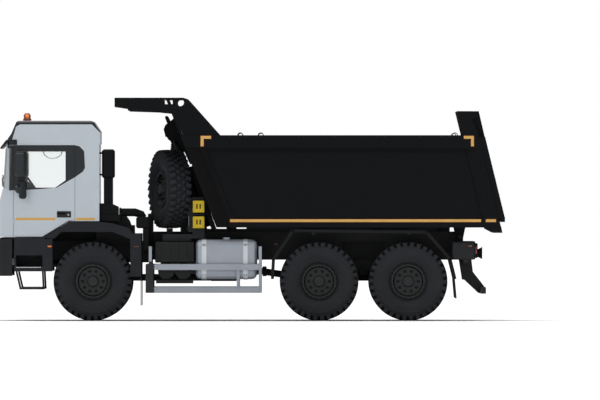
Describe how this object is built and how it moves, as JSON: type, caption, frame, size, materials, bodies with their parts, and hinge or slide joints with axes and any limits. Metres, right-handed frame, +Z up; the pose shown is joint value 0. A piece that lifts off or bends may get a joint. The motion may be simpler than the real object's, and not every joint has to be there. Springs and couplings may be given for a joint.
{
  "type": "dump truck",
  "caption": "Off-road tipping truck with tilting cab, steered front axle, rear bogie, telescopic front hoist, steel bed with canopy and top-hinged tailgate.",
  "frame": {"origin": "on the ground, in the middle of the truck's length and width", "axes": "+X towards the tail, along the truck's length; +Y towards the truck's right side; +Z up"},
  "size_m": [8.1922, 2.9, 3.57],
  "materials": {
    "cab_paint": "gloss silver-grey paint",
    "bed_paint": "satin black paint",
    "frame_paint": "satin dark grey paint",
    "dark_plastic": "matt dark grey",
    "rubber": "dull black rubber",
    "wheel_paint": "satin dark grey paint",
    "tank_metal": "bare brushed metal",
    "guard_metal": "bare extruded metal",
    "cast_metal": "rough dark casting",
    "chromed_rod": "polished rod",
    "glass": "clear, faintly green",
    "amber": "clear amber lens",
    "chock_yellow": "matt yellow",
    "seat_cloth": "dark woven cloth"
  },
  "bodies": {
    "chassis": {"frame_rails": "frame_paint", "subframe": "frame_paint", "engine": "cast_metal", "transmission": "cast_metal", "fuel_tank": "tank_metal", "battery_box": "dark_plastic", "silencer": "tank_metal", "side_guard_left": "guard_metal", "side_guard_right": "guard_metal", "front_mudguard_left": "dark_plastic", "front_mudguard_right": "dark_plastic", "bumper": "dark_plastic", "rear_mudguard_left": "dark_plastic", "rear_mudguard_right": "dark_plastic", "tail_beam": "frame_paint", "tow_hitch": "cast_metal", "spare_carrier": "frame_paint", "spare_tyre": "rubber", "spare_rim": "wheel_paint", "wheel_chocks": "chock_yellow", "air_intake": "dark_plastic", "front_axle": "cast_metal", "rear_axle_1": "cast_metal", "rear_axle_2": "cast_metal", "bogie_springs": "cast_metal"},
    "steering_knuckle_left": {"knuckle_left": "cast_metal"},
    "steering_knuckle_right": {"knuckle_right": "cast_metal"},
    "cab": {"cab_shell": "cab_paint", "roof_cap": "cab_paint", "front_panel": "cab_paint", "windscreen": "glass", "sun_visor": "dark_plastic", "beacon": "amber", "snorkel": "dark_plastic", "seats": "seat_cloth", "dashboard": "dark_plastic"},
    "left_door": {"door_left": "cab_paint", "door_glass_left": "glass"},
    "right_door": {"door_right": "cab_paint", "door_glass_right": "glass"},
    "bed": {"bed_tub": "bed_paint", "canopy": "bed_paint"},
    "rear_tailgate": {"tailgate": "bed_paint"},
    "hoist_cylinder": {"hoist_barrel": "frame_paint"},
    "hoist_rod_1": {"hoist_stage_1": "chromed_rod"},
    "hoist_rod_2": {"hoist_stage_2": "chromed_rod"},
    "hoist_rod_3": {"hoist_stage_3": "chromed_rod"},
    "wheel_front_left": {"tyre_front_left": "rubber", "rim_front_left": "wheel_paint"},
    "wheel_front_right": {"tyre_front_right": "rubber", "rim_front_right": "wheel_paint"},
    "wheel_rear_1_left": {"tyre_rear_1_left": "rubber", "rim_rear_1_left": "wheel_paint"},
    "wheel_rear_1_right": {"tyre_rear_1_right": "rubber", "rim_rear_1_right": "wheel_paint"},
    "wheel_rear_2_left": {"tyre_rear_2_left": "rubber", "rim_rear_2_left": "wheel_paint"},
    "wheel_rear_2_right": {"tyre_rear_2_right": "rubber", "rim_rear_2_right": "wheel_paint"}
  },
  "joints": [
    {"name": "steer_left", "type": "hinge", "parent": "chassis", "child": "steering_knuckle_left", "pos_m": [-2.5, -0.85, 0.63109], "axis": [0, 0, 1], "range_deg": [-30, 30]},
    {"name": "steer_right", "type": "hinge", "parent": "chassis", "child": "steering_knuckle_right", "pos_m": [-2.5, 0.85, 0.63109], "axis": [0, 0, 1], "range_deg": [-30, 30]},
    {"name": "spin_front_left", "type": "hinge", "parent": "steering_knuckle_left", "child": "wheel_front_left", "pos_m": [-2.5, -1.025, 0.63109], "axis": [0, 1, 0], "continuous": true},
    {"name": "spin_front_right", "type": "hinge", "parent": "steering_knuckle_right", "child": "wheel_front_right", "pos_m": [-2.5, 1.025, 0.63109], "axis": [0, 1, 0], "continuous": true},
    {"name": "spin_rear_1_left", "type": "hinge", "parent": "chassis", "child": "wheel_rear_1_left", "pos_m": [1.121, -1.025, 0.63109], "axis": [0, 1, 0], "continuous": true},
    {"name": "spin_rear_1_right", "type": "hinge", "parent": "chassis", "child": "wheel_rear_1_right", "pos_m": [1.121, 1.025, 0.63109], "axis": [0, 1, 0], "continuous": true},
    {"name": "spin_rear_2_left", "type": "hinge", "parent": "chassis", "child": "wheel_rear_2_left", "pos_m": [2.546, -1.025, 0.63109], "axis": [0, 1, 0], "continuous": true},
    {"name": "spin_rear_2_right", "type": "hinge", "parent": "chassis", "child": "wheel_rear_2_right", "pos_m": [2.546, 1.025, 0.63109], "axis": [0, 1, 0], "continuous": true},
    {"name": "cab_tilt", "type": "hinge", "parent": "chassis", "child": "cab", "pos_m": [-3.984, 0, 0.941], "axis": [0, -1, 0], "range_deg": [0, 50]},
    {"name": "door_left_swing", "type": "hinge", "parent": "cab", "child": "left_door", "pos_m": [-3.768, -1.22, 1.341], "axis": [0, 0, -1], "range_deg": [0, 70]},
    {"name": "door_right_swing", "type": "hinge", "parent": "cab", "child": "right_door", "pos_m": [-3.768, 1.22, 1.341], "axis": [0, 0, 1], "range_deg": [0, 70]},
    {"name": "bed_tilt", "type": "hinge", "parent": "chassis", "child": "bed", "pos_m": [3.3765, 0, 1.3383], "axis": [0, 1, 0], "range_deg": [0, 50]},
    {"name": "tailgate_swing", "type": "hinge", "parent": "bed", "child": "rear_tailgate", "pos_m": [3.6005, 0, 3.3], "axis": [0, -1, 0], "range_deg": [0, 65]},
    {"name": "hoist_swing", "type": "hinge", "parent": "chassis", "child": "hoist_cylinder", "pos_m": [-0.66, 0, 1.325], "axis": [0, 1, 0], "range_deg": [0, 46.8]},
    {"name": "hoist_slide_1", "type": "slide", "parent": "hoist_cylinder", "child": "hoist_rod_1", "axis": [-0.3347, 0, 0.9423], "range_m": [0, 1.137]},
    {"name": "hoist_slide_2", "type": "slide", "parent": "hoist_rod_1", "child": "hoist_rod_2", "axis": [-0.3347, 0, 0.9423], "range_m": [0, 1.137]},
    {"name": "hoist_slide_3", "type": "slide", "parent": "hoist_rod_2", "child": "hoist_rod_3", "axis": [-0.3347, 0, 0.9423], "range_m": [0, 1.137]}
  ],
  "couplings": [
    {"joint": "steer_right", "follows": "steer_left", "ratio": 1},
    {"joint": "hoist_swing", "follows": "bed_tilt", "ratio": 0.92642},
    {"joint": "hoist_slide_1", "follows": "bed_tilt", "m_per_rad": 1.301},
    {"joint": "hoist_slide_2", "follows": "bed_tilt", "m_per_rad": 1.301},
    {"joint": "hoist_slide_3", "follows": "bed_tilt", "m_per_rad": 1.301}
  ]
}
